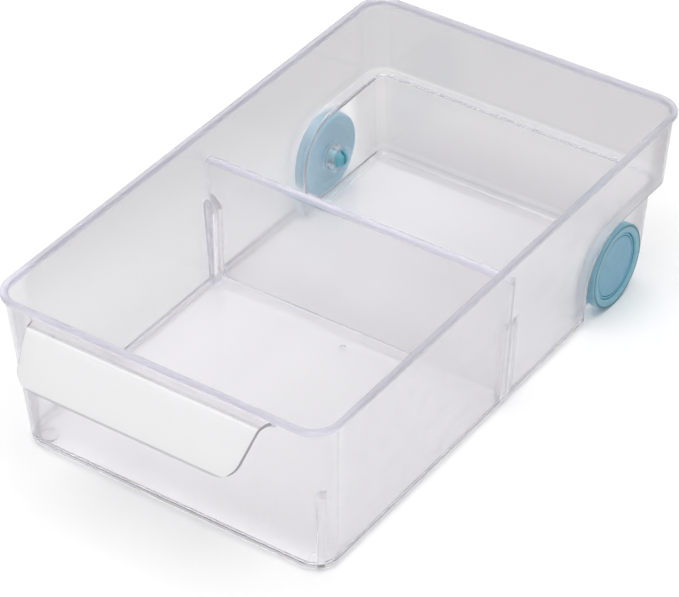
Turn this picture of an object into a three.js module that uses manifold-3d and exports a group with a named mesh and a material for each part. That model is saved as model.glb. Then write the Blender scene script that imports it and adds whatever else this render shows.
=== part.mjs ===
// Fridge organizer bin: a clear moulded tub with a pull handle at the front, a lift-out divider across
// the middle and a wheel in a well at each rear corner, so that the bin rolls out when its handle is
// lifted. Millimetres and degrees. +X is to the right, +Y to the back and +Z up. The bin stands on z = 0,
// and the origin lies under the middle of its overall length and width.
import * as THREE from 'three';
import { mergeVertices } from 'three/addons/utils/BufferGeometryUtils.js';
import Module from 'manifold-3d';

// Tub: overall sizes, measured at the outside of the rim
const rimLength = 352;
const rimWidth = 208.6;
const binHeight = 100;
const rimCornerRadius = 17;

// Tub: rim, walls and floor
const rimHeight = 3;
const rimOverhang = 2;
const rimEdgeRadius = 1.2;
const wall = 2;
const floorThickness = 2.2;
const frontDraft = 4.9;
const sideDraft = 3.2;
const backDraft = 3.3;
const baseCornerRadius = 13.7;
const baseEdgeRadius = 3;
const floorFillet = 4;

// Shallow round dimple in the floor, a mark of the moulding
const dimpleFromFront = 167.4;
const dimpleDiameter = 4.6;
const dimpleDepth = 0.6;

// Front feet, which keep the floor level: the wheels reach this much lower than the floor
const footHeight = 1;
const footDiameter = 10;
const footInset = 3;

// Wheels, each a hub with a soft tyre that turns on a snap-in pin with a broad head
const wheelDiameter = 50.4;
const wheelWidth = 7.2;
const axleFromBack = 62.8;
const tyreDepth = 5.4;
const tyreEdgeRadius = 0.8;
const tyreBevel = 0.8;
const flangeWidth = 2.4;
const faceRecess = 1.2;
const hubLip = 1.2;
const hubRadius = 9;
const hubHollow = 1.6;
const beadHeight = 0.8;
const beadWidth = 1.6;
const pinRadius = 4.2;
const pinHeadThickness = 2;
const pinHeadEdge = 0.4;
const barbHeight = 0.9;
const barbLength = 3.2;
const barbLead = 2;
const splitWidth = 1.8;

// Rear recess: the wells that the wheels sit in, and the ledge that joins them across the back
const recessSideDepth = 7.2;
const recessBackDepth = 6.8;
const recessEdgeRadius = 2;
const archGap = 2.7;
const bossRadius = 8;
const bossReach = 2;

// Divider and the ribs that hold it
const dividerFromFront = 179.8;
const dividerThickness = 2.1;
const dividerTop = 85.5;
const dividerFloorGap = 3.6;
const dividerBead = 4;
const dividerTopCorner = 6;
const dividerBaseCorner = 3;
const slotRibWidth = 3.9;
const slotRibReach = 3.4;
const ribTop = 57;
const ribSlope = 45;
const cornerRibWidth = 3.2;
const cornerRibReach = 3;

// Pull handle
const handleRootWidth = 146.6;
const handleTipWidth = 134.4;
const handleThickness = 2.2;
const handleStandoff = 5.5;
const handleBend = 3.9;
const handleSlope = 52.3;
const handleDrop = 26.1;
const handleCorner = 10;
const handleRootFillet = 3;
const handleEdge = 0.5;
const gussetSpacing = 114;
const gussetThickness = 1.6;
const gussetShelfLeg = 3;
const gussetSlopeLeg = 5.4;

// Clearances
const seatGap = 0.3;
const dividerEndGap = 0.8;

// Joined solids reach this far into each other, cuts pass the surfaces they meet by the smaller length,
// and corners closer than the smallest are one corner
const joinDepth = 1;
const overcut = 0.1;
const sameCorner = 0.0001;

// Facets
const cornerSteps = 10;
const filletSteps = 4;
const archSteps = 14;
const turnSteps = 48;
const boreSteps = 32;

const tangent = (degrees) => Math.tan(THREE.MathUtils.degToRad(degrees));
const quarter = (step, steps) => (Math.PI / 2) * (step / steps);

// Heights and places that follow from the sizes above
const underside = footHeight;
const floorTop = underside + floorThickness;
const rimUnderside = binHeight - rimHeight;
const wheelRadius = wheelDiameter / 2;
const axleY = rimLength / 2 - axleFromBack;
const axleZ = wheelRadius;
const archRadius = wheelRadius + archGap;
const ledgeZ = axleZ + archRadius;
const dividerY = dividerFromFront - rimLength / 2;
const dividerBase = floorTop + dividerFloorGap;

const wasm = await Module();
wasm.setup();

// A closed geometry as a solid that can be joined and cut
function solidOf(geometry) {
  const bare = geometry.index ? geometry.toNonIndexed() : geometry.clone();
  bare.deleteAttribute('normal');
  bare.deleteAttribute('uv');
  const welded = mergeVertices(bare, sameCorner);
  const vertProperties = new Float32Array(welded.attributes.position.array);
  const triVerts = new Uint32Array(welded.index.array);
  return new wasm.Manifold(new wasm.Mesh({ numProp: 3, vertProperties, triVerts }));
}

function geometryOf(solid) {
  const mesh = solid.getMesh();
  const geometry = new THREE.BufferGeometry();
  geometry.setAttribute('position', new THREE.BufferAttribute(mesh.vertProperties, 3));
  geometry.setIndex(new THREE.BufferAttribute(mesh.triVerts, 1));
  return geometry;
}

const joined = (solids) => solids.reduce((whole, solid) => whole.add(solid));

// A solid skinned over convex sections that all have the same number of points
function loft(sections) {
  const count = sections[0].length;
  const triangles = [];
  for (let level = 0; level + 1 < sections.length; level += 1) {
    for (let i = 0; i < count; i += 1) {
      const next = (i + 1) % count;
      const [a, b] = [level * count + i, level * count + next];
      triangles.push(a, b, b + count, a, b + count, a + count);
    }
  }
  const last = (sections.length - 1) * count;
  for (let i = 1; i + 1 < count; i += 1) {
    triangles.push(0, i + 1, i, last, last + i, last + i + 1);
  }
  const points = sections.flat();
  const geometry = new THREE.BufferGeometry().setFromPoints(points);
  geometry.setIndex(facesOut(points, triangles) ? triangles : triangles.reverse());
  return solidOf(geometry);
}

function facesOut(points, triangles) {
  let volume = 0;
  const normal = new THREE.Vector3();
  for (let i = 0; i < triangles.length; i += 3) {
    const [a, b, c] = triangles.slice(i, i + 3).map((index) => points[index]);
    volume += a.dot(normal.crossVectors(b, c));
  }
  return volume > 0;
}

// Flat outlines pushed straight along X or Y
const alongX = new THREE.Matrix4().makeBasis(
  new THREE.Vector3(0, 1, 0), new THREE.Vector3(0, 0, 1), new THREE.Vector3(1, 0, 0));
const alongY = new THREE.Matrix4().makeBasis(
  new THREE.Vector3(1, 0, 0), new THREE.Vector3(0, 0, 1), new THREE.Vector3(0, -1, 0));

function slab(shape, thickness, direction) {
  const geometry = new THREE.ExtrudeGeometry(shape, {
    depth: thickness, bevelEnabled: false, curveSegments: filletSteps * 2 });
  geometry.translate(0, 0, -thickness / 2).applyMatrix4(direction);
  return solidOf(geometry);
}

function block(low, high) {
  const size = high.map((value, axis) => value - low[axis]);
  const middle = high.map((value, axis) => (value + low[axis]) / 2);
  return solidOf(new THREE.BoxGeometry(...size).translate(...middle));
}

// Round bars along X and along Z
function bar(radius, from, to, y, z) {
  const geometry = new THREE.CylinderGeometry(radius, radius, Math.abs(to - from), boreSteps);
  return solidOf(geometry.rotateZ(-Math.PI / 2).translate((from + to) / 2, y, z));
}

function post(radius, x, y, from, to) {
  const geometry = new THREE.CylinderGeometry(radius, radius, to - from, boreSteps);
  return solidOf(geometry.rotateX(Math.PI / 2).translate(x, y, (from + to) / 2));
}

// The walls' outside at a height
const below = (z) => Math.max(rimUnderside - z, 0);
const sideAt = (z) => rimWidth / 2 - rimOverhang - below(z) * tangent(sideDraft);
const frontAt = (z) => -(rimLength / 2 - rimOverhang - below(z) * tangent(frontDraft));
const backAt = (z) => rimLength / 2 - rimOverhang - below(z) * tangent(backDraft);

function cornerAt(z) {
  const top = rimCornerRadius - rimOverhang;
  return THREE.MathUtils.mapLinear(below(z), 0, rimUnderside - underside, top, baseCornerRadius);
}

// The tub's outline at a height, drawn in by an inset all round and by the recess at the sides and back
function outline(z, inset, recess = 0) {
  const radius = Math.max(cornerAt(z) - inset - recess * recessSideDepth, baseEdgeRadius);
  const right = sideAt(z) - inset - recess * recessSideDepth - radius;
  const back = backAt(z) - inset - recess * recessBackDepth - radius;
  const front = frontAt(z) + inset + radius;
  const centres = [[right, back], [-right, back], [-right, front], [right, front]];
  return centres.flatMap(([x, y], corner) => Array.from({ length: cornerSteps + 1 }, (_, step) => {
    const angle = corner * (Math.PI / 2) + quarter(step, cornerSteps);
    return new THREE.Vector3(x + radius * Math.cos(angle), y + radius * Math.sin(angle), z);
  }));
}

// What is made at each step of a quarter turn
const arcOf = (steps, make) => Array.from(
  { length: steps + 1 }, (_, step) => make(quarter(step, steps)));

// Outlines that round the bottom edge from the flat bottom up to the wall
const bottomEdge = (z, radius, inset, recess) => arcOf(filletSteps, (angle) => outline(
  z + radius * (1 - Math.cos(angle)), inset + radius * (1 - Math.sin(angle)), recess));

function outerBlock() {
  const rimEdge = arcOf(filletSteps, (angle) => outline(
    binHeight - rimEdgeRadius * (1 - Math.sin(angle)),
    rimEdgeRadius * (1 - Math.cos(angle)) - rimOverhang));
  const rimLower = rimEdgeRadius / 2;
  return loft([
    ...bottomEdge(underside, baseEdgeRadius, 0, 0),
    outline(rimUnderside, 0),
    outline(rimUnderside, rimLower - rimOverhang),
    outline(rimUnderside + rimLower, -rimOverhang),
    ...rimEdge,
  ]);
}

function innerBlock() {
  const mouth = arcOf(filletSteps, (angle) => outline(
    binHeight - rimEdgeRadius * (1 - Math.sin(angle)), wall - rimEdgeRadius * (1 - Math.cos(angle))));
  return loft([
    ...bottomEdge(floorTop, floorFillet, wall, 0),
    outline(rimUnderside, wall),
    ...mouth,
    outline(binHeight + joinDepth, wall - rimEdgeRadius),
  ]);
}

// Side view of a well, wider than its nominal arch by an offset
function archSection(side, distance, offset) {
  const low = underside - joinDepth;
  const far = rimLength / 2 + joinDepth;
  const arc = arcOf(archSteps, (angle) => [
    axleY - (archRadius + offset + overcut) * Math.cos(angle),
    axleZ + (archRadius + offset + overcut) * Math.sin(angle)]);
  const sideView = [[arc[0][0], low], ...arc, [far, arc.at(-1)[1]], [far, low]];
  return sideView.map(([y, z]) => new THREE.Vector3(side * (sideAt(z) + distance), y, z));
}

// The space behind the arches, from side to side, with a mouth that follows the given steps
function archSpace(steps, top) {
  const left = steps.map(([distance, offset]) => archSection(-1, distance, offset));
  const right = steps.map(([distance, offset]) => archSection(1, distance, offset)).reverse();
  const rear = block(
    [-rimWidth, axleY, underside - joinDepth], [rimWidth, rimLength, top]);
  return loft([...left, ...right]).add(rear);
}

// What the recess takes away from the outside of the tub
function recessOutside() {
  const radius = recessEdgeRadius;
  const mouth = arcOf(filletSteps, (angle) => [
    overcut - radius * (1 - Math.cos(angle)), radius * (1 - Math.sin(angle))]);
  const core = loft([
    outline(underside - joinDepth, baseEdgeRadius, 1),
    ...bottomEdge(underside, baseEdgeRadius, 0, 1),
    outline(ledgeZ, 0, 1),
    ...arcOf(filletSteps, (angle) => outline(
      ledgeZ + radius * (1 - Math.cos(angle)), radius * (1 - Math.sin(angle)))),
    outline(ledgeZ + radius + joinDepth, -joinDepth),
  ]);
  const steps = [[joinDepth, radius], ...mouth, [-radius - joinDepth, 0]];
  return archSpace(steps, ledgeZ + radius + joinDepth / 2).subtract(core);
}

// What the recess takes away from the inside of the tub, a wall's thickness further in
function recessInside() {
  const radius = wall;
  const depth = recessSideDepth;
  const shelf = ledgeZ + wall;
  const bulge = arcOf(filletSteps, (angle) => [
    radius * (1 - Math.sin(angle)) - wall - depth - overcut, wall - radius * (1 - Math.cos(angle))]);
  const core = loft([
    outline(underside, wall + floorFillet, 1),
    ...bottomEdge(floorTop, floorFillet, wall, 1),
    ...arcOf(filletSteps, (angle) => outline(
      shelf - radius * (1 - Math.sin(angle)), wall - radius * (1 - Math.cos(angle)), 1)),
    outline(shelf, wall - joinDepth),
    outline(shelf + joinDepth, wall - joinDepth),
  ]);
  const steps = [[joinDepth, wall], ...bulge, [-wall - depth - joinDepth, wall - radius]];
  return archSpace(steps, shelf + joinDepth / 2).subtract(core);
}

// Where the wheel and its axle meet the recessed wall, on the right-hand side
const wellFace = (z) => sideAt(z) - recessSideDepth;
const wheelInnerX = wellFace(wheelDiameter) + seatGap;
const bossOuterX = wheelInnerX - seatGap;
const bossInnerX = wellFace(0) - wall - bossReach;
const boreRadius = pinRadius + seatGap;

const bothSides = (make) => make(-1).add(make(1));

const wheelBosses = () => bothSides((side) => bar(
  bossRadius, side * bossInnerX, side * bossOuterX, axleY, axleZ));

const wheelBores = () => bothSides((side) => bar(
  boreRadius, side * (bossInnerX - joinDepth), side * (bossOuterX + joinDepth), axleY, axleZ));

// Ribs stand on the floor and lean on the wall; their slanted tops stop a bin that is nested in this one
const ribFoot = underside + floorThickness / 2;

function slantedRib(wallFace, end, width) {
  const rise = (wallFace - end) * tangent(ribSlope);
  const shape = new THREE.Shape([
    new THREE.Vector2(wallFace + joinDepth, ribFoot), new THREE.Vector2(end, ribFoot),
    new THREE.Vector2(end, ribTop - rise), new THREE.Vector2(wallFace, ribTop),
    new THREE.Vector2(wallFace + joinDepth, ribTop)]);
  return slab(shape, width, alongY);
}

const slotWidth = dividerThickness + 2 * seatGap;
const slotRibEnd = sideAt(floorTop) - wall - slotRibReach;

// A pair of ribs at each side makes a slot for the divider, with a stop in it that the divider rests on
function slotRibs() {
  const rib = slantedRib(sideAt(ribTop) - wall, slotRibEnd, slotRibWidth);
  const aside = (slotWidth + slotRibWidth) / 2;
  const half = slotWidth / 2 + joinDepth;
  const stop = block([slotRibEnd, -half, ribFoot], [sideAt(ribFoot), half, dividerBase - seatGap]);
  const right = joined([rib.translate(0, aside, 0), rib.translate(0, -aside, 0), stop]);
  const left = right.mirror([1, 0, 0]);
  return right.add(left).translate(0, dividerY, 0);
}

// One rib across each front corner
function cornerRibs() {
  const diagonal = 45;
  const centre = (z) => [sideAt(z) - cornerAt(z), frontAt(z) + cornerAt(z)];
  const [x, y] = centre(underside);
  const [topX, topY] = centre(ribTop);
  const lean = (topX - x - (topY - y)) * Math.SQRT1_2;
  const rib = slantedRib(
    lean + cornerAt(ribTop) - wall, cornerAt(floorTop) - wall - cornerRibReach, cornerRibWidth);
  const right = rib.rotate([0, 0, -diagonal]).translate(x, y, 0);
  return right.add(right.mirror([1, 0, 0]));
}

// Ribs end in the middle of the walls
const ribLimit = () => loft([outline(underside, wall / 2), outline(rimUnderside, wall / 2)]);

// Pull handle: a flap that leaves the rim level, bends and slopes down and away from the front wall
function handle() {
  const slope = THREE.MathUtils.degToRad(handleSlope);
  const root = rimUnderside;
  const fall = root - (binHeight - handleDrop);
  const straight = (fall - handleBend * (1 - Math.cos(slope))) / Math.sin(slope);
  const bendLength = handleBend * slope;
  const length = handleStandoff + bendLength + straight;

  // Middle of the flap, and the direction across it, at a distance from the rim
  function spine(distance) {
    const bent = THREE.MathUtils.clamp((distance - handleStandoff) / bendLength, 0, 1) * slope;
    const level = Math.min(distance, handleStandoff);
    const rest = Math.max(distance - handleStandoff - bendLength, 0);
    return {
      y: -rimLength / 2 - level - handleBend * Math.sin(bent) - rest * Math.cos(bent),
      z: root - handleBend * (1 - Math.cos(bent)) - rest * Math.sin(bent),
      across: [-Math.sin(bent), Math.cos(bent)],
    };
  }
  const halfWidth = (distance) => THREE.MathUtils.mapLinear(
    distance, 0, length, handleRootWidth / 2, handleTipWidth / 2);
  function section(distance, half, thickness) {
    const { y, z, across } = spine(distance);
    const t = thickness / 2;
    const cut = Math.min(handleEdge, t / 2);
    const corners = [[half, t - cut], [half - cut, t], [cut - half, t], [-half, t - cut],
      [-half, cut - t], [cut - half, -t], [half - cut, -t], [half, cut - t]];
    return corners.map(([x, h]) => new THREE.Vector3(x, y + across[0] * h, z + across[1] * h));
  }
  const flare = arcOf(filletSteps, (angle) => [handleRootFillet * (1 - Math.cos(angle)),
    handleRootFillet * (1 - Math.sin(angle))]);
  const bendSteps = arcOf(filletSteps, (angle) => handleStandoff + bendLength * (angle / (Math.PI / 2)))
    .filter((distance) => distance > handleRootFillet);
  const round = arcOf(filletSteps * 2, (angle) => [length - handleCorner * (1 - Math.sin(angle)),
    handleCorner * (1 - Math.cos(angle))]);
  const inRim = section(0, halfWidth(0) + handleRootFillet, handleThickness)
    .map((point) => point.setY(point.y + rimOverhang));
  return loft([
    inRim,
    ...flare.map(([distance, extra]) => section(distance, halfWidth(distance) + extra, handleThickness)),
    ...bendSteps.map((distance) => section(distance, halfWidth(distance), handleThickness)),
    ...round.map(([distance, less]) => section(distance, halfWidth(distance) - less, handleThickness)),
  ]);
}

// Two small webs inside the bend of the handle
function gussets() {
  const slope = THREE.MathUtils.degToRad(handleSlope);
  const inner = handleThickness / 2;
  const corner = -rimLength / 2 - handleStandoff - (handleBend - inner) * Math.tan(slope / 2);
  const level = rimUnderside - inner;
  const shelfEnd = corner + gussetShelfLeg;
  const slopeEnd = corner - gussetSlopeLeg * Math.cos(slope);
  const foot = level - gussetSlopeLeg * Math.sin(slope);
  const shape = new THREE.Shape([
    new THREE.Vector2(shelfEnd, level), new THREE.Vector2(shelfEnd, level + inner),
    new THREE.Vector2(corner - inner, level + inner / 2),
    new THREE.Vector2(slopeEnd - inner, foot), new THREE.Vector2(slopeEnd, foot)]);
  const web = slab(shape, gussetThickness, alongX);
  return bothSides((side) => web.translate(side * gussetSpacing / 2, 0, 0));
}

// Front feet, under the corners
function feet() {
  const x = sideAt(underside) - baseCornerRadius + footInset;
  const y = frontAt(underside) + baseCornerRadius - footInset;
  return bothSides((side) => post(footDiameter / 2, side * x, y, 0, ribFoot));
}

// The dimple is part of a ball, in the middle of the floor's width
function dimple() {
  const half = dimpleDiameter / 2;
  const radius = (half * half + dimpleDepth * dimpleDepth) / (2 * dimpleDepth);
  const ball = solidOf(new THREE.SphereGeometry(radius, boreSteps, boreSteps).rotateX(Math.PI / 2));
  return ball.translate(0, dimpleFromFront - rimLength / 2, floorTop - dimpleDepth + radius);
}

function tub() {
  const inside = innerBlock().subtract(recessInside());
  const shell = outerBlock().subtract(recessOutside());
  const ribs = slotRibs().add(cornerRibs()).intersect(ribLimit());
  const solid = joined([shell.subtract(inside), ribs, wheelBosses(), handle(), gussets(), feet()]);
  return solid.subtract(wheelBores()).subtract(dimple());
}

// Divider: a plate with rounded corners and a bead along its top edge
function divider() {
  const t = dividerThickness / 2;
  const r = dividerBead / 2;
  const profile = new THREE.Shape();
  profile.absarc(0, dividerBase + t, t, Math.PI, 2 * Math.PI, false);
  profile.lineTo(t, dividerTop - dividerBead - r);
  profile.lineTo(r, dividerTop - r);
  profile.absarc(0, dividerTop - r, r, 0, Math.PI, false);
  profile.lineTo(-t, dividerTop - dividerBead - r);
  const plate = slab(profile, rimWidth, alongX);

  const halfAt = (z) => sideAt(z) - wall - dividerEndGap;
  const [low, high] = [halfAt(dividerBase), halfAt(dividerTop)];
  const lowCorner = dividerBase + dividerBaseCorner;
  const highCorner = dividerTop - dividerTopCorner;
  const face = new THREE.Shape();
  face.moveTo(low - dividerBaseCorner, dividerBase);
  face.quadraticCurveTo(low, dividerBase, halfAt(lowCorner), lowCorner);
  face.lineTo(halfAt(highCorner), highCorner);
  face.quadraticCurveTo(high, dividerTop, high - dividerTopCorner, dividerTop);
  face.lineTo(dividerTopCorner - high, dividerTop);
  face.quadraticCurveTo(-high, dividerTop, -halfAt(highCorner), highCorner);
  face.lineTo(-halfAt(lowCorner), lowCorner);
  face.quadraticCurveTo(-low, dividerBase, dividerBaseCorner - low, dividerBase);
  return plate.intersect(slab(face, dividerBead * 2, alongY)).translate(0, dividerY, 0);
}

// Turned pieces are drawn as radius against distance from the wheel's inner face, and turned about X
function turned(points) {
  const profile = points.map(([radius, along]) => new THREE.Vector2(radius, along));
  return solidOf(new THREE.LatheGeometry(profile, turnSteps).rotateZ(-Math.PI / 2));
}

const tyreInnerRadius = wheelRadius - tyreDepth;
const seatRadius = tyreInnerRadius - seatGap;
const hubFace = wheelWidth - faceRecess;
const beadMiddle = (flangeWidth + hubFace) / 2;
const pocketRadius = seatRadius - hubLip;
const pocketFloor = hubFace - pinHeadThickness - seatGap;

// Hub: a flange and bead hold the tyre, and a pocket in its outer face takes the head of the pin
function wheelHub() {
  const flange = wheelRadius - tyreEdgeRadius / 2;
  const points = [
    [boreRadius, 0], [hubRadius, 0], [hubRadius, hubHollow], [seatRadius - hubHollow, hubHollow],
    [seatRadius, 0], [flange - tyreEdgeRadius, 0], [flange, tyreEdgeRadius], [flange, flangeWidth],
    [seatRadius, flangeWidth], [seatRadius, beadMiddle - beadWidth / 2],
    [seatRadius + beadHeight, beadMiddle], [seatRadius, beadMiddle + beadWidth / 2],
    [seatRadius, hubFace - pinHeadEdge],
    [seatRadius - pinHeadEdge, hubFace], [pocketRadius, hubFace], [pocketRadius, pocketFloor],
    [boreRadius, pocketFloor],
  ];
  return turned([...points, points[0]]);
}

// Pin: a head as broad as the pocket, and a split shank whose barbs snap in behind the boss
function axlePin() {
  const tip = wheelInnerX - bossInnerX + seatGap + barbLength;
  const barb = pinRadius + barbHeight;
  const head = pocketRadius - seatGap;
  const pin = turned([
    [0, -tip], [barb - barbLead, -tip], [barb, barbLead - tip], [barb, barbLength - tip],
    [pinRadius, barbLength - tip], [pinRadius, hubFace - pinHeadThickness],
    [head, hubFace - pinHeadThickness], [head, hubFace - pinHeadEdge], [head - pinHeadEdge, hubFace],
    [0, hubFace],
  ]);
  const split = block([-tip - joinDepth, -splitWidth / 2, -barb - joinDepth],
    [0, splitWidth / 2, barb + joinDepth]);
  return pin.subtract(split);
}

// Soft ring with rounded tread edges, a bevelled outer face and a groove for the hub's bead
function tyre() {
  const groove = beadWidth / 2 + seatGap;
  const inner = flangeWidth + seatGap;
  const edge = (u, toFace) => arcOf(filletSteps, (angle) => {
    const turn = toFace ? angle : Math.PI / 2 - angle;
    const side = toFace ? 1 : -1;
    const radius = wheelRadius - tyreEdgeRadius * (1 - Math.cos(turn));
    return [radius, u + side * tyreEdgeRadius * Math.sin(turn)];
  });
  const points = [
    [tyreInnerRadius, inner],
    ...edge(inner + tyreEdgeRadius, false),
    ...edge(wheelWidth - tyreEdgeRadius, true),
    [tyreInnerRadius + tyreBevel, wheelWidth],
    [tyreInnerRadius, wheelWidth - tyreBevel],
    [tyreInnerRadius, beadMiddle + groove],
    [tyreInnerRadius + beadHeight, beadMiddle],
    [tyreInnerRadius, beadMiddle - groove],
  ];
  return turned([...points, points[0]]);
}

const clear = { color: 0xe4e2ea, roughness: 0.06, metalness: 0, transparent: true, opacity: 0.4 };
const hubTeal = { color: 0x7db0c2, roughness: 0.4, metalness: 0 };
const pinBlue = { color: 0x7fa6ba, roughness: 0.42, metalness: 0 };
const tyreTeal = { color: 0x74afc3, roughness: 0.55, metalness: 0 };

function piece(name, solid, finish) {
  const mesh = new THREE.Mesh(geometryOf(solid), new THREE.MeshStandardMaterial(finish));
  mesh.name = name;
  return mesh;
}

const bin = new THREE.Group();
bin.add(piece('tub', tub(), clear));
bin.add(piece('divider', divider(), clear));

for (const [side, turn] of [['left', Math.PI], ['right', 0]]) {
  const wheel = new THREE.Group();
  wheel.add(piece(`${side}_hub`, wheelHub(), hubTeal));
  wheel.add(piece(`${side}_tyre`, tyre(), tyreTeal));
  wheel.add(piece(`${side}_axle_pin`, axlePin(), pinBlue));
  wheel.position.set(Math.cos(turn) * wheelInnerX, axleY, axleZ);
  wheel.rotation.z = turn;
  bin.add(wheel);
}

// The origin lies under the middle of the overall length, handle included
const extent = new THREE.Box3().setFromObject(bin);
bin.position.y = -(extent.min.y + extent.max.y) / 2;

export default bin;
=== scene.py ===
import math

import bpy
from mathutils import Matrix, Vector

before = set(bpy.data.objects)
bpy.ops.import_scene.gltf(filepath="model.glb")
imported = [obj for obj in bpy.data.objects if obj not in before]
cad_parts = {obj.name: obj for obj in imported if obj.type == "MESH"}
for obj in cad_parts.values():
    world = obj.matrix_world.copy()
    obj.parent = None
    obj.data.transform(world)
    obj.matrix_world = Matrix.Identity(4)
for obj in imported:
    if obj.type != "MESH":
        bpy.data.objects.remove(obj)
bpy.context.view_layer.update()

# Camera, fitted to the photograph's straight edges (degrees, metres, pixels)
IMAGE_WIDTH = 679
IMAGE_HEIGHT = 597
CAMERA_AZIMUTH = 34.968
CAMERA_ELEVATION = 37.533
CAMERA_ROLL = -0.341
CAMERA_PLACE = (0.7885, -1.1343, 1.0874)
FOCAL_PIXELS = 3228.55
CENTRE_PIXEL = (330.47, 318.28)
SENSOR = 36.0
CLIP_END = 50

# Shading of the CAD meshes: edges sharper than SHARP (radians) stay sharp
SHARP = math.radians(38)
WELD_DISTANCE = 2e-6
NORMAL_WEIGHT = 50

# Noise: the range of it that is mapped onto other values, and its detail
NOISE_LOW = 0.3
NOISE_HIGH = 0.7
NOISE_DETAIL = 3.0

# Widths of the changes between the looks of a piece's places (metres)
THIN = 0.0006
NARROW = 0.002
MEDIUM = 0.012
WIDE = 0.022

# Clear plastic in general
REFRACTION = 1.55
ABSORB_COLOUR = (0.84, 0.82, 0.93, 1)
ABSORB_DENSITY = 8.0
TUB_ROUGH = (0.11, 0.15)
DIVIDER_ROUGH = (0.08, 0.12)
CLEAR_ROUGH_SCALE = 90.0
WAVE_SCALE = 35.0
WAVE_DETAIL = 1.0
WAVE_DEPTH = 0.0002
WAVE_STRENGTH = 0.1

# Tints of the clear plastic, in general and by wall, set by comparison with the photograph. The general
# tint is partly the plastic's own and partly painted shade; the tints by wall are painted shade and light:
# darker at the left, the back, the floor's right and the front-left corner, lighter at the front and
# right.
PLAIN_TINT = (0.86, 0.855, 0.865)
LEFT_PAINTED_SHADE = (0.66, 0.65, 0.665)
LEFT_LOW_PAINTED_SHADE = (0.79, 0.785, 0.795)
RIGHT_PAINTED_LIGHT = (0.905, 0.90, 0.91)
BACK_HIGH_PAINTED_SHADE = (0.655, 0.645, 0.66)
BACK_LOW_PAINTED_SHADE = (0.72, 0.71, 0.725)
TUB_FLOOR_PAINTED_SHADE = (0.86, 0.855, 0.865)
TUB_FLOOR_RIGHT_PAINTED_SHADE = (0.785, 0.78, 0.79)
FRONT_PAINTED_LIGHT = (0.955, 0.95, 0.955)
CORNER_PAINTED_SHADE = (0.80, 0.795, 0.81)
DIVIDER_TINT = (0.91, 0.905, 0.91)

# Where the walls' tints, which are painted shade and light, start and end
LEFT_SIDE = -0.0835
LEFT_START = 0.02
LEFT_END = 0.105
LEFT_BACKWARD = 0.2
RIGHT_SIDE = 0.0835
BACK_SIDE = 0.17
BACK_LOW = 0.045
BACK_HIGH = 0.06
TUB_FLOOR_TOP = 0.0045
TUB_FLOOR_HALF_WIDTH = 0.09
FRONT_WALL = -0.153
FRONT_WALL_LEFT = -0.07
CORNER_SIDE = -0.087
CORNER_FRONT = -0.141
CORNER_WIDTH = 0.008

# Wheel wells, whose walls are hazy and have no tint: painted light, lighter than the painted shade round
# them so that the wheels behind look lit
AXLE_Y = 0.12627
AXLE_Z = 0.0252
WELL_SIDE = 0.085
WELL_RADIUS = 0.0296
WELL_BACK = 0.142
WELL_PAINTED_LIGHT = (1.0, 1.0, 1.0)
WELL_CLEAR = 0.87

# Thick places are milky: the rim and the divider's bead. Along its sides and back the rim has painted
# shade.
MILK = (0.91, 0.90, 0.985)
MILK_ROUGH = 0.26
RIM_BOTTOM = 0.0966
RIM_CLEAR = 0.6
RIM_BACK_PAINTED_SHADE = (0.77, 0.76, 0.82)
RIM_START = -0.12
BEAD_BOTTOM = 0.081
BEAD_CLEAR = 0.72

# Slot ribs and corner ribs
SLOT_RIB_SIDE = 0.089
SLOT_RIB_Y = 0.0169
SLOT_RIB_HALF = 0.0056
CORNER_RIB_SIDE = 0.0885
CORNER_RIB_HALF = 0.0024
CORNER_SUM = -0.0558
RIB_TOP = 0.058
RIB_TINT = (0.96, 0.955, 0.97)
RIB_CLEAR = 0.88

# Ledge of the recess, the arch over the left wheel, the recess floor's back edge and the tub's bottom
# edge. Painted shade darkens the ledge and arch and the recess floor's back edge; painted light makes the
# arch over the left wheel lighter, on the left side only.
LEDGE = 0.0291
LEDGE_HALF = 0.0012
LEDGE_Y = 0.16
LEDGE_PAINTED_SHADE = (0.78, 0.775, 0.79)
LEDGE_CLEAR = 0.98
ARCH_PAINTED_LIGHT = (0.95, 0.97, 1.0)
ARCH_CLEAR = 0.85
FILLET_PAINTED_SHADE = (0.77, 0.765, 0.78)
FILLET_TOP = 0.008
FILLET_BACK = 0.164
BASE_TOP = 0.0048
BASE_SIDE = 0.0946
BASE_FRONT = -0.1505
BASE_MILK = (0.99, 0.985, 0.995)
BASE_CLEAR = 0.3

# Handle: clear where it leaves the rim, a bend with painted shade, then a milky flap whose lower end and
# sideways-facing edges have painted shade
HANDLE_START = -0.1634
BEND_START = -0.1688
FLAP_START = -0.1712
BEND_PAINTED_SHADE = (0.80, 0.795, 0.81)
FLAP_WHITE = (0.99, 0.985, 0.99)
FLAP_CLEAR = 0.26
FLAP_EDGE_PAINTED_SHADE = (0.40, 0.395, 0.42)
FLAP_EDGE_CLEAR = 0.2
FLAP_EDGE_FACING = (0.55, 0.68)
FLAP_END_PAINTED_SHADE = (0.66, 0.655, 0.68)
FLAP_DOWN = (-0.6115, -0.7912)
FLAP_END = 0.0558

# Ends of the divider, which lean with the tub's walls
DIVIDER_END = 0.0927
DIVIDER_SLOPE = -0.0559
DIVIDER_END_TINT = (0.97, 0.965, 0.98)
DIVIDER_END_CLEAR = 0.6

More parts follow.
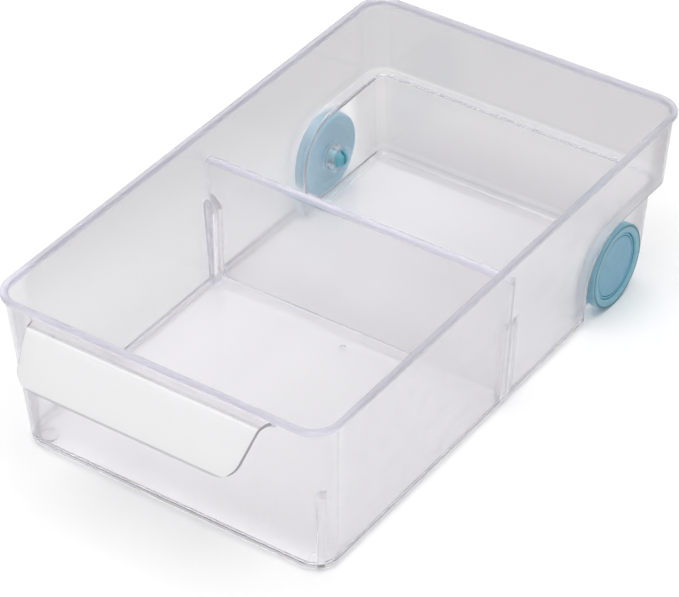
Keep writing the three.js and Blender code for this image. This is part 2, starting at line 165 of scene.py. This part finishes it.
# Teal plastic: colours between low and high, roughness, the pin's tip and the line round the tyre's face,
# which is painted shade where the tread's edge meets the face
TYRE_LOW = (0.205, 0.43, 0.53)
TYRE_HIGH = (0.23, 0.47, 0.575)
TYRE_ROUGH = (0.35, 0.5)
TYRE_LINE_PAINTED_SHADE = (0.06, 0.17, 0.23)
LINE_RADIUS = 0.024
LINE_HALF = 0.0003
HUB_LOW = (0.165, 0.485, 0.65)
HUB_HIGH = (0.195, 0.535, 0.70)
HUB_ROUGH = (0.3, 0.42)
PIN_LOW = (0.171, 0.39, 0.525)
PIN_HIGH = (0.198, 0.434, 0.572)
PIN_ROUGH = (0.35, 0.5)
PIN_TIP = (0.13, 0.41, 0.50)
TIP_SIDE = 0.0905
MOTTLE_SCALE = 160.0
TEAL_ROUGH_SCALE = 420.0
GRAIN_SCALE = 1500.0
GRAIN_DEPTH = 0.00005
GRAIN_STRENGTH = 0.3

# Floor, just under the part
FLOOR_HALF = 6.0
FLOOR_LEVEL = -0.0001
FLOOR_COLOUR = (0.945, 0.945, 0.945, 1)
FLOOR_ROUGH = 0.9

# Studio: a bright ceiling that fades to the horizon, and is even where it is seen through the plastic
HORIZON_LEVEL = 0.3
CEILING_LEVEL = 0.62
THROUGH_LEVEL = 0.8

# Large soft key light overhead
KEY_AZIMUTH = math.radians(10)
KEY_ELEVATION = math.radians(85)
KEY_SPREAD = math.radians(55)
KEY_STRENGTH = 1.76

# Light passes many surfaces of the clear walls
CLEAR_BOUNCES = 40
DIFFUSE_BOUNCES = 8


def smoothing_group():
    """Node group that smooths the shading of a mesh up to the SHARP angle."""
    group = bpy.data.node_groups.new("smooth_by_angle", "GeometryNodeTree")
    group.interface.new_socket("Geometry", in_out="INPUT", socket_type="NodeSocketGeometry")
    group.interface.new_socket("Geometry", in_out="OUTPUT", socket_type="NodeSocketGeometry")
    nodes, links = group.nodes, group.links
    start = nodes.new("NodeGroupInput")
    end = nodes.new("NodeGroupOutput")
    faces = nodes.new("GeometryNodeSetShadeSmooth")
    faces.domain = "FACE"
    edges = nodes.new("GeometryNodeSetShadeSmooth")
    edges.domain = "EDGE"
    edges.inputs["Shade Smooth"].default_value = False
    angle = nodes.new("GeometryNodeInputMeshEdgeAngle")
    over = nodes.new("FunctionNodeCompare")
    over.operation = "GREATER_THAN"
    over.inputs["B"].default_value = SHARP
    links.new(angle.outputs["Unsigned Angle"], over.inputs["A"])
    links.new(over.outputs["Result"], edges.inputs["Selection"])
    links.new(start.outputs[0], faces.inputs["Geometry"])
    links.new(faces.outputs["Geometry"], edges.inputs["Geometry"])
    links.new(edges.outputs["Geometry"], end.inputs[0])
    return group


SMOOTH = smoothing_group()


def dress(node, material):
    """Shows a CAD node with smooth curves and the given material."""
    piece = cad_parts[node]
    weld = piece.modifiers.new("weld", "WELD")
    weld.merge_threshold = WELD_DISTANCE
    smooth = piece.modifiers.new("smooth", "NODES")
    smooth.node_group = SMOOTH
    normals = piece.modifiers.new("normals", "WEIGHTED_NORMAL")
    normals.keep_sharp = True
    normals.weight = NORMAL_WEIGHT
    if not piece.material_slots:
        piece.data.materials.append(material)
    for slot in piece.material_slots:
        slot.link = "OBJECT"
        slot.material = material


class Field:
    """A number or colour that varies over a piece: a socket of a node tree, with arithmetic.

    A mix node takes numbers at its inputs 2 and 3 and colours at its inputs 6 and 7.
    """

    def __init__(self, tree, socket):
        self.tree = tree
        self.socket = socket

    def math(self, operation, other=None):
        node = self.tree.nodes.new("ShaderNodeMath")
        node.operation = operation
        self.tree.links.new(self.socket, node.inputs[0])
        if isinstance(other, Field):
            self.tree.links.new(other.socket, node.inputs[1])
        elif other is not None:
            node.inputs[1].default_value = other
        return Field(self.tree, node.outputs["Value"])

    def __add__(self, other):
        return self.math("ADD", other)

    def __sub__(self, other):
        return self.math("SUBTRACT", other)

    def __mul__(self, other):
        return self.math("MULTIPLY", other)

    def size(self):
        return self.math("ABSOLUTE")

    def most(self, other):
        return self.math("MAXIMUM", other)

    def root(self):
        return self.math("SQRT")

    def ramp(self, start, end):
        """0 at start, 1 at end, smooth between."""
        node = self.tree.nodes.new("ShaderNodeMapRange")
        node.interpolation_type = "SMOOTHSTEP"
        node.inputs["From Min"].default_value = start
        node.inputs["From Max"].default_value = end
        self.tree.links.new(self.socket, node.inputs["Value"])
        return Field(self.tree, node.outputs["Result"])

    def over(self, limit, edge):
        """1 where the field is over the limit, and 0 from the edge's width under it."""
        return self.ramp(limit - edge, limit)

    def under(self, limit, edge):
        """1 where the field is under the limit, and 0 from the edge's width over it."""
        return self.ramp(limit + edge, limit)

    def span(self, low, high):
        """Maps a noise onto low to high."""
        node = self.tree.nodes.new("ShaderNodeMapRange")
        node.inputs["From Min"].default_value = NOISE_LOW
        node.inputs["From Max"].default_value = NOISE_HIGH
        node.inputs["To Min"].default_value = low
        node.inputs["To Max"].default_value = high
        self.tree.links.new(self.socket, node.inputs["Value"])
        return Field(self.tree, node.outputs["Result"])

    def blend(self, low, high):
        """low where the field is 0, high where it is 1; low may be a field."""
        node = self.tree.nodes.new("ShaderNodeMix")
        self.tree.links.new(self.socket, node.inputs[0])
        if isinstance(low, Field):
            self.tree.links.new(low.socket, node.inputs[2])
        else:
            node.inputs[2].default_value = low
        node.inputs[3].default_value = high
        return Field(self.tree, node.outputs[0])

    def tint(self, low, high):
        """Colour low where the field is 0, colour high where it is 1; low may be a field."""
        node = self.tree.nodes.new("ShaderNodeMix")
        node.data_type = "RGBA"
        self.tree.links.new(self.socket, node.inputs[0])
        if isinstance(low, Field):
            self.tree.links.new(low.socket, node.inputs[6])
        else:
            node.inputs[6].default_value = (*low, 1)
        node.inputs[7].default_value = (*high, 1)
        return Field(self.tree, node.outputs[2])


def coordinates(tree, kind):
    """x, y and z of a point of the piece (Object) or of its face's direction (Normal)."""
    place = tree.nodes.new("ShaderNodeTexCoord")
    split = tree.nodes.new("ShaderNodeSeparateXYZ")
    tree.links.new(place.outputs[kind], split.inputs["Vector"])
    return [Field(tree, split.outputs[axis]) for axis in "XYZ"]


def noise(tree, scale, detail=NOISE_DETAIL):
    place = tree.nodes.new("ShaderNodeTexCoord")
    texture = tree.nodes.new("ShaderNodeTexNoise")
    texture.inputs["Scale"].default_value = scale
    texture.inputs["Detail"].default_value = detail
    tree.links.new(place.outputs["Object"], texture.inputs["Vector"])
    return Field(tree, texture.outputs["Fac"])


def new_material(name):
    material = bpy.data.materials.new(name)
    material.use_nodes = True
    tree = material.node_tree
    shader = tree.nodes["Principled BSDF"]
    return material, tree, shader


def feed(shader, socket, field):
    field.tree.links.new(field.socket, shader.inputs[socket])


def bump(shader, height, distance, strength):
    node = height.tree.nodes.new("ShaderNodeBump")
    node.inputs["Distance"].default_value = distance
    node.inputs["Strength"].default_value = strength
    height.tree.links.new(height.socket, node.inputs["Height"])
    height.tree.links.new(node.outputs["Normal"], shader.inputs["Normal"])


def direction(azimuth, elevation):
    """Unit vector from the part towards an azimuth, 0 in front of it, and an elevation (radians)."""
    return Vector((math.sin(azimuth) * math.cos(elevation),
                   -math.cos(azimuth) * math.cos(elevation),
                   math.sin(elevation)))


def arch_distance(y, z):
    """Distance from the axle in front of it and above it, which is even all along the arch of a well."""
    ahead = ((y - AXLE_Y) * -1.0).most(0.0)
    above = (z - AXLE_Z).most(0.0)
    return (ahead * ahead + above * above).root()


def tub_layers(tree):
    """Places of the tub with their colour and clearness, the later ones over the earlier ones; most of the
    colours are painted shade and light.
    """
    x, y, z = coordinates(tree, "Object")
    facing_x = coordinates(tree, "Normal")[0]
    side = x.size()
    left_low = x.under(LEFT_SIDE, NARROW) * y.under(SLOT_RIB_Y, NARROW)
    right = x.over(RIGHT_SIDE, NARROW)
    left = (z + y * LEFT_BACKWARD).ramp(LEFT_START, LEFT_END) * x.under(LEFT_SIDE, NARROW)
    back = y.over(BACK_SIDE, WIDE)
    back_high = back * z.ramp(BACK_LOW, BACK_HIGH)
    floor_place = z.under(TUB_FLOOR_TOP, NARROW)
    floor_right = floor_place * x.ramp(-TUB_FLOOR_HALF_WIDTH, TUB_FLOOR_HALF_WIDTH)
    front = y.under(FRONT_WALL, WIDE) * x.over(FRONT_WALL_LEFT, WIDE)
    corner = x.under(CORNER_SIDE, CORNER_WIDTH) * y.under(CORNER_FRONT, CORNER_WIDTH)
    arch = arch_distance(y, z)
    well = side.over(WELL_SIDE, NARROW) * arch.under(WELL_RADIUS, NARROW) * y.under(WELL_BACK, MEDIUM)
    slot_ribs = side.over(SLOT_RIB_SIDE, THIN) * (y - SLOT_RIB_Y).size().under(SLOT_RIB_HALF, THIN)
    corner_ribs = (side.over(CORNER_RIB_SIDE, THIN)
                   * (side + y - CORNER_SUM).size().under(CORNER_RIB_HALF, THIN))
    ribs = slot_ribs.most(corner_ribs) * z.under(RIB_TOP, THIN)
    ledge = ((arch - LEDGE).size().under(LEDGE_HALF, THIN)
             * side.over(WELL_SIDE, NARROW).most(y.over(LEDGE_Y, NARROW)))
    over_wheel = ledge * y.under(AXLE_Y, MEDIUM) * x.under(0.0, NARROW)
    fillet = z.under(FILLET_TOP, NARROW) * y.over(FILLET_BACK, THIN)
    base = z.under(BASE_TOP, THIN) * side.over(BASE_SIDE, THIN).most(y.under(BASE_FRONT, THIN))
    rim = z.over(RIM_BOTTOM, THIN) * y.over(HANDLE_START, THIN)
    rim_back = rim * y.over(RIM_START, WIDE)
    bend = y.under(BEND_START, NARROW)
    flap = y.under(FLAP_START, NARROW)
    handle = y.under(HANDLE_START, THIN)
    flap_end = (y * FLAP_DOWN[0] + z * FLAP_DOWN[1]).over(FLAP_END, THIN) * handle
    flap_edge = facing_x.size().ramp(*FLAP_EDGE_FACING) * handle
    milky = rim.most(ribs).most(ledge).most(base)
    layers = [
        # Painted shade and light: the right and front walls are lighter; the left, the back and the
        # floor's right are darker
        (right, RIGHT_PAINTED_LIGHT, 1.0),
        (left_low, LEFT_LOW_PAINTED_SHADE, 1.0),
        (left, LEFT_PAINTED_SHADE, 1.0),
        (back, BACK_LOW_PAINTED_SHADE, 1.0),
        (back_high, BACK_HIGH_PAINTED_SHADE, 1.0),
        (floor_place, TUB_FLOOR_PAINTED_SHADE, 1.0),
        (floor_right, TUB_FLOOR_RIGHT_PAINTED_SHADE, 1.0),
        (front, FRONT_PAINTED_LIGHT, 1.0),
        # Painted shade: the front-left corner is darker
        (corner, CORNER_PAINTED_SHADE, 1.0),
        # Painted light: the wells' walls keep no tint, so they are lighter than the walls round them
        (well, WELL_PAINTED_LIGHT, WELL_CLEAR),
        (ribs, RIB_TINT, RIB_CLEAR),
        # Painted shade along the ledge and the arches
        (ledge, LEDGE_PAINTED_SHADE, LEDGE_CLEAR),
        # Painted shade at the recess floor's back edge
        (fillet, FILLET_PAINTED_SHADE, 1.0),
        # Painted light over the left wheel only
        (over_wheel, ARCH_PAINTED_LIGHT, ARCH_CLEAR),
        (base, BASE_MILK, BASE_CLEAR),
        (rim, MILK, RIM_CLEAR),
        # Painted shade: the rim is darker along its sides and back
        (rim_back, RIM_BACK_PAINTED_SHADE, RIM_CLEAR),
        # Painted shade in the bend
        (bend, BEND_PAINTED_SHADE, 1.0),
        (flap, FLAP_WHITE, FLAP_CLEAR),
        # Painted shade at the flap's lower end and at its sideways-facing edges
        (flap_end, FLAP_END_PAINTED_SHADE, FLAP_EDGE_CLEAR),
        (flap_edge, FLAP_EDGE_PAINTED_SHADE, FLAP_EDGE_CLEAR),
    ]
    return layers, milky


def divider_layers(tree):
    """Places of the divider, as those of the tub."""
    x, _, z = coordinates(tree, "Object")
    bead = z.over(BEAD_BOTTOM, THIN)
    ends = (x.size() + z * DIVIDER_SLOPE).over(DIVIDER_END, THIN)
    layers = [
        (ends, DIVIDER_END_TINT, DIVIDER_END_CLEAR),
        (bead, MILK, BEAD_CLEAR),
    ]
    return layers, bead.most(ends)


def clear_plastic(name, tint, rough, places):
    """Clear plastic whose tint, clearness and roughness change with the place."""
    material, tree, shader = new_material(name)
    layers, milky = places(tree)
    colour = tint
    clear = 1.0
    for place, place_tint, place_clear in layers:
        colour = place.tint(colour, place_tint)
        clear = place.blend(clear, place_clear)
    feed(shader, "Base Color", colour)
    feed(shader, "Transmission Weight", clear)
    feed(shader, "Roughness", milky.blend(noise(tree, CLEAR_ROUGH_SCALE).span(*rough), MILK_ROUGH))
    shader.inputs["IOR"].default_value = REFRACTION
    bump(shader, noise(tree, WAVE_SCALE, WAVE_DETAIL), WAVE_DEPTH, WAVE_STRENGTH)
    volume = tree.nodes.new("ShaderNodeVolumeAbsorption")
    volume.inputs["Color"].default_value = ABSORB_COLOUR
    volume.inputs["Density"].default_value = ABSORB_DENSITY
    tree.links.new(volume.outputs["Volume"], tree.nodes["Material Output"].inputs["Volume"])
    return material


def teal_plastic(name, low, high, rough, tip=None, line=None):
    """Teal plastic with faint mottling; tip colours what is inside the tub, line a ring of painted shade
    on a face.
    """
    material, tree, shader = new_material(name)
    colour = noise(tree, MOTTLE_SCALE).span(0.0, 1.0).tint(low, high)
    if tip:
        colour = coordinates(tree, "Object")[0].size().under(TIP_SIDE, THIN).tint(colour, tip)
    if line:
        _, y, z = coordinates(tree, "Object")
        y, z = y - AXLE_Y, z - AXLE_Z
        radius = (y * y + z * z).root()
        # Painted shade: a dark ring where the tread's edge meets the face
        colour = (radius - LINE_RADIUS).size().under(LINE_HALF, THIN).tint(colour, line)
    feed(shader, "Base Color", colour)
    feed(shader, "Roughness", noise(tree, TEAL_ROUGH_SCALE).span(*rough))
    bump(shader, noise(tree, GRAIN_SCALE), GRAIN_DEPTH, GRAIN_STRENGTH)
    return material


# Materials of the nodes
CLEAR = clear_plastic("clear_plastic", PLAIN_TINT, TUB_ROUGH, tub_layers)
DIVIDER = clear_plastic("divider_plastic", DIVIDER_TINT, DIVIDER_ROUGH, divider_layers)
TYRE = teal_plastic("teal_tyre", TYRE_LOW, TYRE_HIGH, TYRE_ROUGH, line=TYRE_LINE_PAINTED_SHADE)
HUB = teal_plastic("teal_hub", HUB_LOW, HUB_HIGH, HUB_ROUGH)
PIN = teal_plastic("teal_pin", PIN_LOW, PIN_HIGH, PIN_ROUGH, tip=PIN_TIP)

dress("tub", CLEAR)
dress("divider", DIVIDER)
for side in ("left", "right"):
    dress(side + "_tyre", TYRE)
    dress(side + "_hub", HUB)
    dress(side + "_axle_pin", PIN)

# Floor
floor_mesh = bpy.data.meshes.new("floor")
floor_mesh.from_pydata(
    [(-FLOOR_HALF, -FLOOR_HALF, 0), (FLOOR_HALF, -FLOOR_HALF, 0),
     (FLOOR_HALF, FLOOR_HALF, 0), (-FLOOR_HALF, FLOOR_HALF, 0)], [], [(0, 1, 2, 3)])
floor = bpy.data.objects.new("floor", floor_mesh)
floor.location.z = FLOOR_LEVEL
bpy.context.scene.collection.objects.link(floor)
floor_material, tree, shader = new_material("pale_floor")
shader.inputs["Base Color"].default_value = FLOOR_COLOUR
shader.inputs["Roughness"].default_value = FLOOR_ROUGH
shader.inputs["Specular IOR Level"].default_value = 0.0
floor_mesh.materials.append(floor_material)

# Studio
world = bpy.data.worlds.new("studio")
bpy.context.scene.world = world
world.use_nodes = True
tree = world.node_tree
background = tree.nodes["Background"]
height = coordinates(tree, "Generated")[2]
fade = tree.nodes.new("ShaderNodeMapRange")
fade.inputs["From Min"].default_value = 0.0
fade.inputs["From Max"].default_value = 1.0
fade.inputs["To Min"].default_value = HORIZON_LEVEL
fade.inputs["To Max"].default_value = CEILING_LEVEL
tree.links.new(height.socket, fade.inputs["Value"])
path = tree.nodes.new("ShaderNodeLightPath")
through = Field(tree, path.outputs["Is Glossy Ray"]).most(Field(tree, path.outputs["Is Transmission Ray"]))
level = through.blend(Field(tree, fade.outputs["Result"]), THROUGH_LEVEL)
tree.links.new(level.socket, background.inputs["Strength"])
background.inputs["Color"].default_value = (1, 1, 1, 1)

# Key light
key_data = bpy.data.lights.new("key", "SUN")
key_data.angle = KEY_SPREAD
key_data.energy = KEY_STRENGTH
key = bpy.data.objects.new("key", key_data)
key_from = direction(KEY_AZIMUTH, KEY_ELEVATION)
key.location = key_from
key.rotation_euler = key_from.to_track_quat("Z", "Y").to_euler()
bpy.context.scene.collection.objects.link(key)

# Camera
azimuth = math.radians(CAMERA_AZIMUTH)
elevation = math.radians(CAMERA_ELEVATION)
roll = math.radians(CAMERA_ROLL)
behind = direction(azimuth, elevation)
right = Vector((math.cos(azimuth), math.sin(azimuth), 0))
up = behind.cross(right)
turned_right = right * math.cos(roll) + up * math.sin(roll)
turned_up = up * math.cos(roll) - right * math.sin(roll)
data = bpy.data.cameras.new("camera")
data.sensor_fit = "HORIZONTAL"
data.sensor_width = SENSOR
data.lens = FOCAL_PIXELS * SENSOR / IMAGE_WIDTH
data.shift_x = (IMAGE_WIDTH / 2 - CENTRE_PIXEL[0]) / IMAGE_WIDTH
data.shift_y = (CENTRE_PIXEL[1] - IMAGE_HEIGHT / 2) / IMAGE_WIDTH
data.clip_end = CLIP_END
camera = bpy.data.objects.new("camera", data)
camera.matrix_world = Matrix.Translation(CAMERA_PLACE) @ Matrix(
    (turned_right, turned_up, behind)).transposed().to_4x4()
bpy.context.scene.collection.objects.link(camera)
bpy.context.scene.camera = camera

bpy.context.scene.view_settings.view_transform = "Standard"
cycles = bpy.context.scene.cycles
cycles.max_bounces = CLEAR_BOUNCES
cycles.glossy_bounces = CLEAR_BOUNCES
cycles.transmission_bounces = CLEAR_BOUNCES
cycles.diffuse_bounces = DIFFUSE_BOUNCES
cycles.blur_glossy = 0.0
